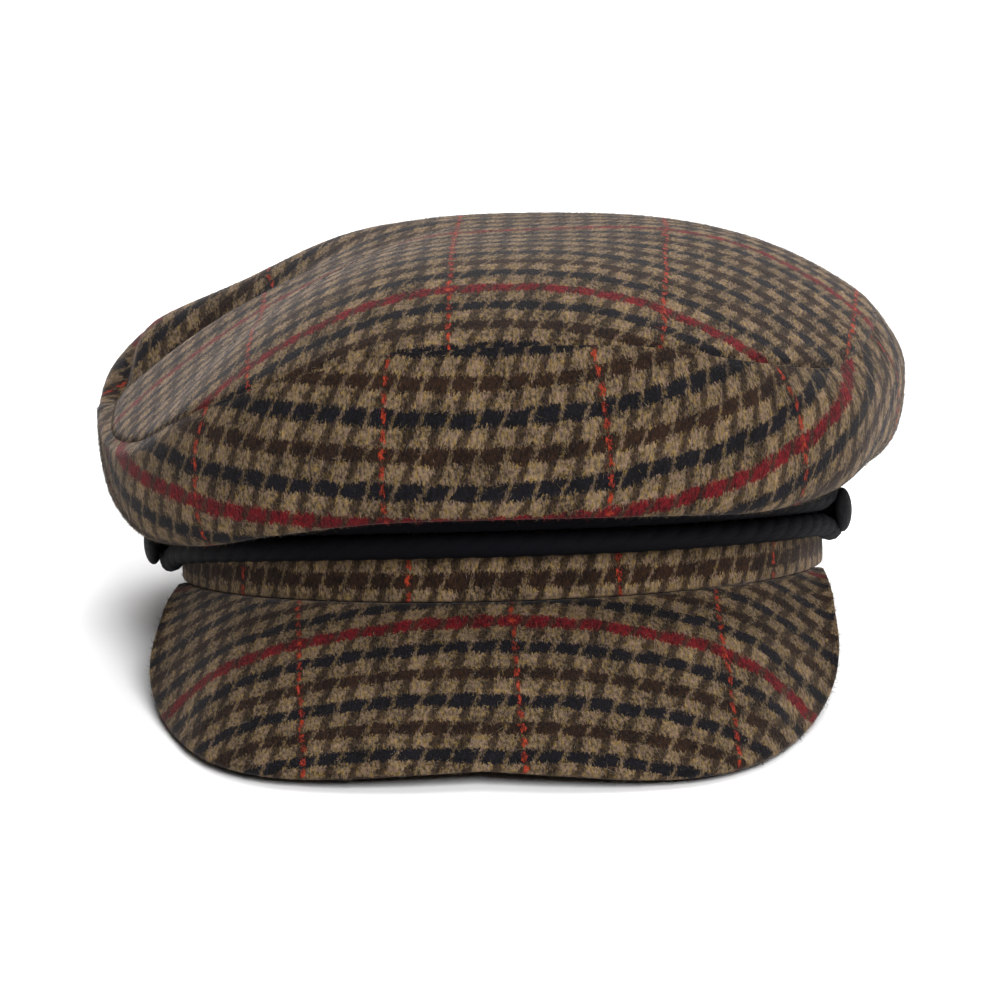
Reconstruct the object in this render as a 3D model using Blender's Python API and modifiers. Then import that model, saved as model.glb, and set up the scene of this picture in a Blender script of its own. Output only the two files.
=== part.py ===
"""Sailor cap in check tweed: a soft crown of three panels, head band, cloth peak, cord and two buttons.

The cap is drawn as it is sewn, with the lower edge of its band on the plane z = 0, +X to the
viewer's right and -Y to the front. It is then set down on its three low points: the back of
the band and the two low points of the peak's edge.
"""

import math
from collections import namedtuple

import bpy
from mathutils import Vector

# The head band, an oval ring of cloth
HEAD_WIDTH = 0.184
HEAD_LENGTH = 0.196
BAND_HEIGHT = 0.034
BAND_WALL = 0.0025

# The crown's cloth and how far it stands out from and above the band
CLOTH_WALL = 0.002
OVERHANG = 0.024
SIDE_RISE = 0.036
DOME_RISE = 0.0315
SIDE_SEAM_TURN = 96.0

# The peak: how far it reaches in front of the band, its half width, its fall below the band, its
# bow between the band and the edge, and how far the edge tips, leans and swings to one side
PEAK_REACH = 0.045
PEAK_HALF_WIDTH = 0.0935
PEAK_FALL = 0.0405
PEAK_THICKNESS = 0.0032
PEAK_ARCH = 0.0045
PEAK_SKEW = 0.032
PEAK_LEAN = -0.0026
PEAK_SWING = 0.036

# The cord, and the height of its middle at each button and at the front as shares of BAND_HEIGHT
CORD_THICKNESS = 0.0066
CORD_TURN = 77.0
CORD_RISE_LEFT = 0.34
CORD_RISE_FRONT = 0.55
CORD_RISE_RIGHT = 0.47
EYE_LENGTH = 3.0

# The buttons that hold the cord's two ends
BUTTON_WIDTH = 0.0125
BUTTON_HEAD = 0.0052
BUTTON_EDGE = 0.35
BUTTON_UNDERCUT = 0.86
SHANK_WIDTH = 0.0036

# Room left between two pieces that meet
CLEARANCE = 0.0003

# How finely each piece is drawn
STATIONS = 72
SIDE_STEPS = (3, 3, 4)
TOP_RINGS = (0.94, 0.86, 0.75, 0.62, 0.47, 0.31, 0.15)
SEAM_STEP = 0.05
PEAK_COLUMNS = 44
PEAK_ROWS = 6
CORD_STEPS = 40
EYE_STEPS = 8
DOME_STEPS = 4
BUTTON_STEPS = 20

# The side panel climbs in three curves: band to fold, fold to rim, rim to the top seam.
# pull and push say how far each curve runs straight on at its two ends, as shares of its size.
BendRow = namedtuple("BendRow", "pull push")
UNDER = BendRow(0.45, 0.45)
BELLY = BendRow(0.75, 0.55)
SHOULDER = BendRow(0.45, 0.38)

# One row for each station round the crown, by its turn from the front towards +X in degrees.
# out is a share of OVERHANG beyond the band; drop is a share of BAND_HEIGHT below the band's top;
# rise is a share of SIDE_RISE above it; fullness is the power of the dome's curve.
CrownRow = namedtuple("CrownRow", "turn fold_out fold_drop rim_out rim_rise seam_out seam_rise fullness")
CROWN = [
    CrownRow(-180, 0.36, 0.40, 0.62, 0.48, 0.27, 1.03, 3.1),
    CrownRow(-152, 0.38, 0.40, 0.89, 0.54, 0.63, 1.03, 2.8),
    CrownRow(-130, 0.42, 0.44, 1.13, 0.59, 0.89, 1.08, 2.4),
    CrownRow(-114, 0.42, 0.48, 1.41, 0.61, 0.99, 1.04, 2.4),
    CrownRow(-101, 0.42, 0.50, 1.18, 0.42, 0.91, 0.57, 2.3),
    CrownRow(-90, 0.41, 0.50, 0.98, 0.29, 0.81, 0.42, 2.1),
    CrownRow(-75, 0.46, 0.51, 0.90, 0.16, 0.82, 0.26, 1.9),
    CrownRow(-60, 0.54, 0.58, 0.98, 0.11, 0.82, 0.26, 2.0),
    CrownRow(-45, 0.62, 0.56, 0.98, 0.16, 0.86, 0.49, 2.3),
    CrownRow(-30, 0.70, 0.44, 0.99, 0.22, 0.82, 0.72, 2.6),
    CrownRow(-15, 0.74, 0.34, 0.97, 0.26, 0.72, 0.91, 2.8),
    CrownRow(0, 0.74, 0.32, 0.96, 0.27, 0.65, 0.96, 2.9),
    CrownRow(20, 0.74, 0.34, 0.97, 0.28, 0.68, 0.94, 3.0),
    CrownRow(40, 0.68, 0.38, 1.00, 0.28, 0.74, 0.77, 3.2),
    CrownRow(57, 0.57, 0.30, 1.01, 0.34, 0.75, 0.69, 3.5),
    CrownRow(72, 0.40, 0.18, 0.96, 0.46, 0.72, 0.84, 3.5),
    CrownRow(92, 0.33, 0.19, 1.03, 0.57, 0.70, 1.09, 3.2),
    CrownRow(115, 0.35, 0.28, 0.93, 0.55, 0.47, 1.11, 3.5),
    CrownRow(148, 0.36, 0.36, 0.76, 0.50, 0.34, 1.07, 3.2),
]

# Folds and hollows pressed into the crown: across and back as shares of the head's half width and
# half length, heading from +X in degrees, length, width and height as shares of OVERHANG.
FoldRow = namedtuple("FoldRow", "name across back heading length width height")
FOLDS = [
    FoldRow("left valley", -0.92, 0.20, 160, 1.50, 0.50, -0.48),
    FoldRow("left hollow", -0.76, 0.56, 150, 1.10, 0.90, -0.34),
    FoldRow("brow flat", -0.04, -0.38, 0, 2.60, 1.66, -0.20),
    FoldRow("back swell", 0.00, 0.57, 0, 2.20, 2.00, 0.05),
]

# One row for each station along the peak's edge, from the middle to a corner. turn is where the
# peak is sewn to the band; across, forward and fall are shares of the peak's sizes.
PeakRow = namedtuple("PeakRow", "station turn across forward fall")
PEAK = [
    PeakRow(0.00, 0, 0.000, 0.992, 0.946),
    PeakRow(0.15, 12, 0.218, 1.003, 0.970),
    PeakRow(0.30, 24, 0.448, 0.992, 0.997),
    PeakRow(0.42, 34, 0.638, 0.953, 0.986),
    PeakRow(0.54, 43, 0.794, 0.855, 0.943),
    PeakRow(0.66, 52, 0.906, 0.695, 0.862),
    PeakRow(0.76, 60, 0.985, 0.545, 0.684),
    PeakRow(0.84, 66, 1.012, 0.451, 0.466),
    PeakRow(0.90, 70, 1.003, 0.373, 0.251),
    PeakRow(0.95, 74, 0.992, 0.284, 0.093),
    PeakRow(1.00, 77, 0.975, 0.170, 0.008),
]


def clear_scene():
    for item in list(bpy.data.objects):
        bpy.data.objects.remove(item, do_unlink=True)


def read_table(table, key, period=None):
    """The row at key (the first column), the others joined smoothly through the rows round it."""
    keys = [row[0] for row in table]
    count = len(table)
    if period:
        key = (key - keys[0]) % period + keys[0]
    low = max(index for index in range(count) if keys[index] <= key)

    def row_at(index):
        if period:
            return keys[index % count] + period * (index // count), table[index % count]
        index = min(max(index, 0), count - 1)
        return keys[index], table[index]

    if not period:
        low = min(low, count - 2)
    (k0, r0), (k1, r1), (k2, r2), (k3, r3) = (row_at(low + step) for step in (-1, 0, 1, 2))
    share = (key - k1) / (k2 - k1)
    values = [key]
    for column in range(1, len(r1)):
        slope_in = (r2[column] - r0[column]) / (k2 - k0)
        slope_out = (r3[column] - r1[column]) / (k3 - k1)
        values.append(hermite(r1[column], r2[column], slope_in, slope_out, share, k2 - k1))
    return type(r1)(*values)


def hermite(start, end, slope_in, slope_out, share, length):
    square, cube = share * share, share * share * share
    return ((2 * cube - 3 * square + 1) * start + (3 * square - 2 * cube) * end
            + (cube - 2 * square + share) * length * slope_in + (cube - square) * length * slope_out)


def ease(share):
    return share * share * (3 - 2 * share)


def band_radius(turn):
    angle = math.radians(turn)
    return 1.0 / math.hypot(math.sin(angle) * 2 / HEAD_WIDTH, math.cos(angle) * 2 / HEAD_LENGTH)


def round_band(turn, out, height):
    """A point at a turn from the front, a distance out from the band's face, at a height."""
    angle = math.radians(turn)
    reach = band_radius(turn) + out
    return Vector((reach * math.sin(angle), -reach * math.cos(angle), height))


def band_normal(turn):
    point = round_band(turn, 0.0, 0.0)
    return Vector((point.x / HEAD_WIDTH ** 2, point.y / HEAD_LENGTH ** 2, 0.0)).normalized()


def bezier(start, pull, push, end, share):
    rest = 1.0 - share
    weights = (rest ** 3, 3 * rest * rest * share, 3 * rest * share * share, share ** 3)
    return tuple(sum(w * p for w, p in zip(weights, axis)) for axis in zip(start, pull, push, end))


def side_profile(row, place):
    """Out and height of the side panel: the band (0), the fold (1), the rim (2), the top seam (3)."""
    top = BAND_HEIGHT + CLEARANCE
    sewn = (0.0, top)
    fold = (row.fold_out * OVERHANG, BAND_HEIGHT - row.fold_drop * BAND_HEIGHT)
    rim = (row.rim_out * OVERHANG, BAND_HEIGHT + row.rim_rise * SIDE_RISE)
    seam = (row.seam_out * OVERHANG, BAND_HEIGHT + row.seam_rise * SIDE_RISE)
    if place <= 0.0:
        return (place * BAND_WALL, top)
    if place <= 1.0:
        pull = (UNDER.pull * fold[0], top)
        push = ((1.0 - UNDER.push) * fold[0], fold[1])
        return bezier(sewn, pull, push, fold, place)
    if place <= 2.0:
        pull = (fold[0] + BELLY.pull * (rim[0] - fold[0]), fold[1])
        push = (rim[0], rim[1] - BELLY.push * (rim[1] - fold[1]))
        return bezier(fold, pull, push, rim, place - 1.0)
    reach, lift = seam[0] - rim[0], seam[1] - rim[1]
    pull = (rim[0], rim[1] + SHOULDER.pull * lift)
    push = (seam[0] - SHOULDER.push * reach, seam[1] - SHOULDER.push * lift)
    return bezier(rim, pull, push, seam, place - 2.0)


def fold_height(x, y):
    """How far the folds and hollows lift or sink the crown at a place."""
    total = 0.0
    for row in FOLDS:
        dx = x - row.across * HEAD_WIDTH / 2
        dy = y - row.back * HEAD_LENGTH / 2
        heading = math.radians(row.heading)
        along = dx * math.cos(heading) + dy * math.sin(heading)
        aside = dy * math.cos(heading) - dx * math.sin(heading)
        far = (along / (row.length * OVERHANG)) ** 2 + (aside / (row.width * OVERHANG)) ** 2
        total += row.height * OVERHANG * math.exp(-far)
    return total


def crown_point(turn, place):
    """The crown's outer face: place -1 to 3 climbs the side panel, 3 to 4 crosses to the middle."""
    row = read_table(CROWN, turn, 360)
    if place <= 3.0:
        out, height = side_profile(row, place)
        point = round_band(turn, out, height)
        lift = max(place - 1.0, 0.0) / 2.0
    else:
        share = 4.0 - place
        seam = round_band(turn, row.seam_out * OVERHANG, BAND_HEIGHT + row.seam_rise * SIDE_RISE)
        middle = BAND_HEIGHT + SIDE_RISE + DOME_RISE
        height = middle - (middle - seam.z) * share ** row.fullness
        point = Vector((seam.x * share, seam.y * share, height))
        lift = 1.0
    point.z += ease(lift) * fold_height(point.x, point.y)
    return point


def crown_normal(turn, place):
    round_step, climb_step = 2.0, 0.05
    low, high = max(place - climb_step, -1.0), min(place + climb_step, 4.0)
    around = crown_point(turn + round_step, place) - crown_point(turn - round_step, place)
    climb = crown_point(turn, high) - crown_point(turn, low)
    return around.cross(climb).normalized()


def beside_seam(turn, step):
    """A point half a clearance to one side of the seam between the side and the top."""
    seam = crown_point(turn, 3.0)
    return seam + (crown_point(turn, 3.0 + step) - seam).normalized() * CLEARANCE / 2


def inner_face(outside, places, turns):
    return [[point - crown_normal(turn, place) * CLOTH_WALL for point, turn in zip(row, turns)]
            for row, place in zip(outside, places)]


def even_turns(first, last):
    count = round(STATIONS * (last - first) / 360)
    return [first + (last - first) * step / count for step in range(count + 1)]


def panel_turns(first, last):
    """Turns across a side panel, drawn in by half a clearance at both of its side seams."""
    trim = math.degrees(CLEARANCE / 2 / (HEAD_WIDTH / 2 + OVERHANG / 2))
    return [first + trim] + even_turns(first, last)[1:-1] + [last - trim]


def grid_faces(rows, columns, closed=False, first=0, inward=False):
    """Four-sided faces between rows of points that are numbered row by row from first."""
    faces = []
    for row in range(rows - 1):
        for column in range(columns if closed else columns - 1):
            a = first + row * columns + column
            b = first + row * columns + (column + 1) % columns
            face = (a, b, b + columns, a + columns)
            faces.append(face[::-1] if inward else face)
    return faces


def rim_faces(border, inner):
    """Faces that close a wall along its border, joining each point to its twin on the inner face."""
    return [(i, inner + i, inner + j, j) for i, j in zip(border, border[1:] + border[:1])]


def add_mesh(name, points, faces, material, collection):
    mesh = bpy.data.meshes.new(name)
    mesh.from_pydata([tuple(point) for point in points], [], faces)
    mesh.shade_smooth()
    mesh.set_sharp_from_angle(angle=math.radians(50.0))
    mesh.materials.append(material)
    part = bpy.data.objects.new(name, mesh)
    collection.objects.link(part)
    return part


def side_panel(name, first, last, material, collection):
    """A side panel lofted as a closed wall, from the strip sewn on the band up to the top seam."""
    turns = panel_turns(first, last)
    places = [-1.0]
    for segment, steps in enumerate(SIDE_STEPS):
        places += [segment + step / steps for step in range(steps)]
    places.append(3.0)
    outside = [[crown_point(turn, place) for turn in turns] for place in places[:-1]]
    outside.append([beside_seam(turn, -SEAM_STEP) for turn in turns])
    inside = inner_face(outside, places, turns)
    rows, columns = len(places), len(turns)
    inner = rows * columns
    faces = grid_faces(rows, columns) + grid_faces(rows, columns, first=inner, inward=True)
    border = list(range(columns - 1)) + list(range(columns - 1, inner - 1, columns))
    border += list(range(inner - 1, inner - columns, -1)) + list(range(inner - columns, 0, -columns))
    faces += rim_faces(border, inner)
    points = [point for row in outside + inside for point in row]
    return add_mesh(name, points, faces, material, collection)


def top_panel(name, material, collection):
    """The oval top, a closed wall of rings from the seam to the middle of the dome."""
    turns = (even_turns(-SIDE_SEAM_TURN, SIDE_SEAM_TURN)[:-1]
             + even_turns(SIDE_SEAM_TURN, 360.0 - SIDE_SEAM_TURN)[:-1])
    places = [3.0] + [4.0 - ring for ring in TOP_RINGS]
    outside = [[beside_seam(turn, SEAM_STEP) for turn in turns]]
    outside += [[crown_point(turn, place) for turn in turns] for place in places[1:]]
    inside = inner_face(outside, places, turns)
    rows, count = len(places), len(turns)
    inner = rows * count
    middle = crown_point(0.0, 4.0)
    points = [point for row in outside + inside for point in row]
    points += [middle, middle - Vector((0.0, 0.0, CLOTH_WALL))]
    faces = grid_faces(rows, count, closed=True)
    faces += grid_faces(rows, count, closed=True, first=inner, inward=True)
    faces += rim_faces(list(range(count)), inner)
    last = inner - count
    for here in range(count):
        beyond = (here + 1) % count
        faces.append((last + here, last + beyond, 2 * inner))
        faces.append((inner + last + beyond, inner + last + here, 2 * inner + 1))
    return add_mesh(name, points, faces, material, collection)


def thick_surface(name, grid, closed, thickness, material, collection):
    """An open surface through rows of points, made a wall on its inner side with Solidify."""
    faces = grid_faces(len(grid), len(grid[0]), closed)
    part = add_mesh(name, [point for row in grid for point in row], faces, material, collection)
    solidify = part.modifiers.new("Solidify", "SOLIDIFY")
    solidify.thickness = thickness
    solidify.offset = -1.0
    return part


def head_band(material, collection):
    turns = [360.0 * step / STATIONS for step in range(STATIONS)]
    heights = (0.0, BAND_HEIGHT / 2, BAND_HEIGHT)
    grid = [[round_band(turn, 0.0, height) for turn in turns] for height in heights]
    return thick_surface("band", grid, True, BAND_WALL, material, collection)


def peak_point(station, place):
    """The peak's upper face: station -1 to 1 runs corner to corner, place 0 to 1 band to edge."""
    side = -1.0 if station < 0 else 1.0
    row = read_table(PEAK, abs(station))
    if place <= 0.0:
        return round_band(side * row.turn, place * BAND_WALL, -CLEARANCE)
    reach = HEAD_LENGTH / 2 + PEAK_REACH
    edge = Vector((side * row.across * PEAK_HALF_WIDTH, -row.forward * reach, -row.fall * PEAK_FALL))
    edge.x += PEAK_LEAN * row.fall
    edge.z -= PEAK_SKEW * edge.x * row.fall
    edge.y += PEAK_SWING * edge.x * row.forward
    sewn = round_band(side * row.turn, 0.0, -CLEARANCE)
    bow = Vector((0.0, 0.0, 4 * place * (1 - place) * PEAK_ARCH * min(row.fall, 1.0)))
    return sewn.lerp(edge, place) + bow


def cloth_peak(material, collection):
    """The peak with the strip by which it is sewn under the band's lower edge."""
    stations = [-1.0 + 2.0 * step / PEAK_COLUMNS for step in range(PEAK_COLUMNS + 1)]
    places = [step / PEAK_ROWS for step in range(PEAK_ROWS, -1, -1)] + [-1.0]
    grid = [[peak_point(station, place) for station in stations] for place in places]
    return thick_surface("peak", grid, False, PEAK_THICKNESS, material, collection)


def cord_height(turn):
    side = CORD_RISE_RIGHT if turn > 0 else CORD_RISE_LEFT
    share = (turn / CORD_TURN) ** 2
    return BAND_HEIGHT * (CORD_RISE_FRONT + (side - CORD_RISE_FRONT) * share)


def cord_route():
    """The middle line of the cord: along the band, round one button, back below, round the other."""
    out = CLEARANCE + CORD_THICKNESS / 2
    eye = SHANK_WIDTH / 2 + out
    spread = (CORD_THICKNESS + CLEARANCE) / 2
    upper, lower = [], []
    for step in range(CORD_STEPS + 1):
        turn = CORD_TURN * (2.0 * step / CORD_STEPS - 1.0)
        nearest = math.radians(CORD_TURN - abs(turn)) * HEAD_WIDTH / 2
        apart = spread + (eye - spread) * ease(max(0.0, 1.0 - nearest / (EYE_LENGTH * eye)))
        upper.append(round_band(turn, out, cord_height(turn) + apart))
        lower.append(round_band(turn, out, cord_height(turn) - apart))
    ends = []
    for side in (1, -1):
        bend = []
        for step in range(1, EYE_STEPS):
            angle = math.pi * step / EYE_STEPS
            turn = side * (CORD_TURN + math.degrees(eye * math.sin(angle) / (HEAD_WIDTH / 2)))
            height = cord_height(side * CORD_TURN) + side * eye * math.cos(angle)
            bend.append(round_band(turn, out, height))
        ends.append(bend)
    return upper + ends[0] + lower[::-1] + ends[1]


def held_cord(material, collection):
    route = cord_route()
    data = bpy.data.curves.new("cord", "CURVE")
    data.dimensions = "3D"
    data.bevel_depth = CORD_THICKNESS / 2
    data.bevel_resolution = 2
    spline = data.splines.new("POLY")
    spline.points.add(len(route) - 1)
    for control, point in zip(spline.points, route):
        control.co = (*point, 1.0)
    spline.use_cyclic_u = True
    data.materials.append(material)
    part = bpy.data.objects.new("cord", data)
    collection.objects.link(part)
    return part


def side_button(name, turn, material, collection):
    """A domed button on a shank: a profile turned with Screw, its foot just clear of the band."""
    foot = CLEARANCE
    under = CLEARANCE * 2 + CORD_THICKNESS
    half, shank = BUTTON_WIDTH / 2, SHANK_WIDTH / 2
    profile = [(0.0, under + BUTTON_HEAD)]
    for step in range(1, DOME_STEPS + 1):
        angle = math.pi / 2 * step / DOME_STEPS
        rise = BUTTON_EDGE + (1.0 - BUTTON_EDGE) * math.cos(angle)
        profile.append((half * math.sin(angle), under + BUTTON_HEAD * rise))
    profile += [(half * BUTTON_UNDERCUT, under), (shank, under), (shank, foot), (0.0, foot)]
    edges = [(index, index + 1) for index in range(len(profile) - 1)]
    mesh = bpy.data.meshes.new(name)
    mesh.from_pydata([(x, 0.0, z) for x, z in profile], edges, [])
    mesh.materials.append(material)
    part = bpy.data.objects.new(name, mesh)
    screw = part.modifiers.new("Screw", "SCREW")
    screw.steps = BUTTON_STEPS
    screw.render_steps = BUTTON_STEPS
    screw.use_merge_vertices = True
    screw.merge_threshold = 0.00001
    screw.use_smooth_shade = True
    part.location = round_band(turn, 0.0, cord_height(turn))
    part.rotation_euler = band_normal(turn).to_track_quat("Z", "Y").to_euler()
    collection.objects.link(part)
    return part


def finish(name, colour, roughness):
    material = bpy.data.materials.new(name)
    material.use_nodes = True
    shader = material.node_tree.nodes["Principled BSDF"]
    shader.inputs["Base Color"].default_value = (*colour, 1.0)
    shader.inputs["Roughness"].default_value = roughness
    shader.inputs["Metallic"].default_value = 0.0
    return material


def world_points(parts):
    """Every corner of the parts as they stand, with their modifiers."""
    bpy.context.view_layer.update()
    graph = bpy.context.evaluated_depsgraph_get()
    found = {}
    for part in parts:
        body = part.evaluated_get(graph)
        mesh = body.to_mesh()
        found[part.name] = [body.matrix_world @ vertex.co for vertex in mesh.vertices]
        body.to_mesh_clear()
    return found


def set_down(parts, stand):
    """Turns the stand until the band's back and the peak's two low points lie level, on the floor."""
    for part in parts:
        part.parent = stand
    stand.rotation_mode = "QUATERNION"
    for _ in range(8):
        points = world_points(parts)
        edge = points["peak"]
        back = min((point for point in points["band"] if point.y > 0), key=lambda point: point.z)
        left = min((point for point in edge if point.x < 0), key=lambda point: point.z)
        right = min((point for point in edge if point.x > 0), key=lambda point: point.z)
        level = (right - back).cross(left - back)
        level = level if level.z > 0 else -level
        stand.rotation_quaternion = level.rotation_difference(Vector((0, 0, 1))) @ stand.rotation_quaternion
    every = [point for group in world_points(parts).values() for point in group]
    low = [min(point[axis] for point in every) for axis in range(3)]
    high = [max(point[axis] for point in every) for axis in range(3)]
    stand.location -= Vector(((low[0] + high[0]) / 2, (low[1] + high[1]) / 2, low[2]))


def build_cap():
    clear_scene()
    collection = bpy.data.collections.new("sailor_cap")
    bpy.context.scene.collection.children.link(collection)
    tweed = {name: finish(name + "_tweed", (0.055, 0.036, 0.024), 0.95)
             for name in ("top", "front", "back", "band", "peak")}
    black_cord = finish("black_cord", (0.006, 0.006, 0.009), 0.7)
    left_button = finish("left_button", (0.005, 0.005, 0.007), 0.45)
    right_button = finish("right_button", (0.005, 0.005, 0.007), 0.45)
    seam = SIDE_SEAM_TURN
    parts = [
        top_panel("crown_top", tweed["top"], collection),
        side_panel("crown_front", -seam, seam, tweed["front"], collection),
        side_panel("crown_back", seam, 360.0 - seam, tweed["back"], collection),
        head_band(tweed["band"], collection),
        cloth_peak(tweed["peak"], collection),
        held_cord(black_cord, collection),
        side_button("button_left", -CORD_TURN, left_button, collection),
        side_button("button_right", CORD_TURN, right_button, collection),
    ]
    stand = bpy.data.objects.new("resting_place", None)
    collection.objects.link(stand)
    set_down(parts, stand)


build_cap()
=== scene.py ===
import math

import bmesh
import bpy
import numpy as np
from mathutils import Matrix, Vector


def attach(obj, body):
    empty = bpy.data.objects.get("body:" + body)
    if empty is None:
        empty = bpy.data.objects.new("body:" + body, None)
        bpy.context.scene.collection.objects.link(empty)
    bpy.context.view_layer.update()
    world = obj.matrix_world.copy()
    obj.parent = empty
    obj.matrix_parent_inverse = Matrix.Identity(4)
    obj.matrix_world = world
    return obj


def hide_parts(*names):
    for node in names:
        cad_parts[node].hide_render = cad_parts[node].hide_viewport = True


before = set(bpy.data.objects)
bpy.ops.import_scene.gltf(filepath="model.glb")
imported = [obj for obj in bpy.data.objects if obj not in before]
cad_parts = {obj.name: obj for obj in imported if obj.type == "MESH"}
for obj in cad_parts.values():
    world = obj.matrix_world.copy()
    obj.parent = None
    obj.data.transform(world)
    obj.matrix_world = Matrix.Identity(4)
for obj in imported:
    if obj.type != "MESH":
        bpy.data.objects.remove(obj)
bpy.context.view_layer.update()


# ---- Head band ---------------------------------------------------------------------------------
# A straight strip of the cap's tweed, folded over and sewn into an oval ring 58 cm round inside.
# The crown is sewn to its upper edge and the peak under its lower edge; the cap is worn by it.

HEAD_WIDTH, HEAD_LENGTH = 0.184, 0.196
BAND_HEIGHT, BAND_WALL = 0.034, 0.0025
BAND_THREAD = 0.00089               # one warp thread; 64 of them from one orange thread to the next
BAND_CHECK = 0.00964                # eight weft threads, one check of the houndstooth
BAND_BROWN_ROW, BAND_ORANGE = 0.0058, 0.034    # up from the lower edge, and round from the front
BAND_EDGE, CREASE = 0.0008, 50      # how round its folded edges are, and the least angle of an edge
CLEARANCE = 0.0003                  # between one piece and the next

# The cap is drawn as it is sewn, the band's lower edge level, and then tipped to lie on the floor.
RESTING = np.array([[0.999501, 0.003439, -0.031410, 0.002543],
                    [0.002355, 0.983188, 0.182582, 0.014200],
                    [0.031510, -0.182564, 0.982689, 0.018119]])


def at_rest(points):
    return points @ RESTING[:, :3].T + RESTING[:, 3]


def round_band(turn, out, height):
    """Points at turns from the front towards +X, out from the band's face, at heights."""
    angle = np.radians(turn)
    reach = out + 1.0 / np.hypot(np.sin(angle) * 2 / HEAD_WIDTH, np.cos(angle) * 2 / HEAD_LENGTH)
    return np.stack(np.broadcast_arrays(reach * np.sin(angle), -reach * np.cos(angle), height), axis=-1)


def run_along(points, axis):
    """How far each point of a grid lies along its row or column, from the first point."""
    steps = np.linalg.norm(np.diff(points, axis=axis), axis=-1)
    start = np.zeros_like(np.take(steps, [0], axis=axis))
    return np.concatenate([start, np.cumsum(steps, axis=axis)], axis=axis)


def new_object(name, data):
    """An object in the scene that holds a mesh, a lamp or the camera."""
    thing = bpy.data.objects.new(name, data)
    bpy.context.scene.collection.objects.link(thing)
    return thing


def woven_grid(name, points, threads, wall=0.0):
    """Cloth through a grid of points. Where a wall is given, Solidify adds it on the inner side.
    Each corner keeps its place in the weave, counted in threads, as the UV map Weave."""
    rows, columns = points.shape[:2]
    corner = (np.arange(rows - 1)[:, None] * columns + np.arange(columns - 1)).ravel()
    faces = np.stack([corner, corner + 1, corner + columns + 1, corner + columns], axis=1)
    mesh = bpy.data.meshes.new(name)
    mesh.from_pydata(at_rest(points).reshape(-1, 3).tolist(), [], faces.tolist())
    weave = mesh.uv_layers.new(name="Weave")
    weave.data.foreach_set("uv", threads.reshape(-1, 2)[faces.ravel()].ravel())
    sheet = bmesh.new()
    sheet.from_mesh(mesh)
    bmesh.ops.remove_doubles(sheet, verts=sheet.verts, dist=1e-6)
    sheet.to_mesh(mesh)
    sheet.free()
    mesh.shade_smooth()
    piece = new_object(name, mesh)
    if wall:
        solid = piece.modifiers.new("wall", "SOLIDIFY")
        solid.thickness, solid.offset = wall, -1.0
    return piece


def linear(colour):
    """An sRGB hex colour as the linear red, green, blue and alpha that a shader takes."""
    parts = [int(colour[start:start + 2], 16) / 255 for start in (1, 3, 5)]
    return [part / 12.92 if part <= 0.04045 else ((part + 0.055) / 1.055) ** 2.4 for part in parts] + [1.0]


def add_node(tree, kind, inputs, out=0, **settings):
    """Adds a node with its settings, links or fills its inputs, and gives back one of its outputs."""
    node = tree.nodes.new("ShaderNode" + kind)
    for name, value in settings.items():
        setattr(node, name, value)
    for key, value in inputs.items():
        if isinstance(value, bpy.types.NodeSocket):
            tree.links.new(value, node.inputs[key])
        else:
            node.inputs[key].default_value = value
    return node.outputs[out]


def new_material(name):
    """A material with its node tree and its shader."""
    material = bpy.data.materials.new(name)
    material.use_nodes = True
    return material, material.node_tree, material.node_tree.nodes["Principled BSDF"]


# The weave is counted in threads, both ways: in each check four dark ones come first, then four
# light ones. The twill shows as one slash in each block of four by four.
CHECK, BLOCK = 8.0, 4.0
MIDDLE = 2.0                        # of a block
STRIPES = 8.0                       # checks up the cloth until the colours of its dark rows repeat
WEFT_EDGE, EDGE_BLUR = -0.2, 0.25   # the dark weft ends a little early, and half of an edge's blur
SLASH_LEAN, SLASH_BLUR = 0.6, 0.4   # threads across to each thread up, and half of its blur
ORANGE_EVERY, ORANGE_THREAD, ORANGE_HALF = 64.0, 2.5, 0.6      # which warp threads, and half of one


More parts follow.
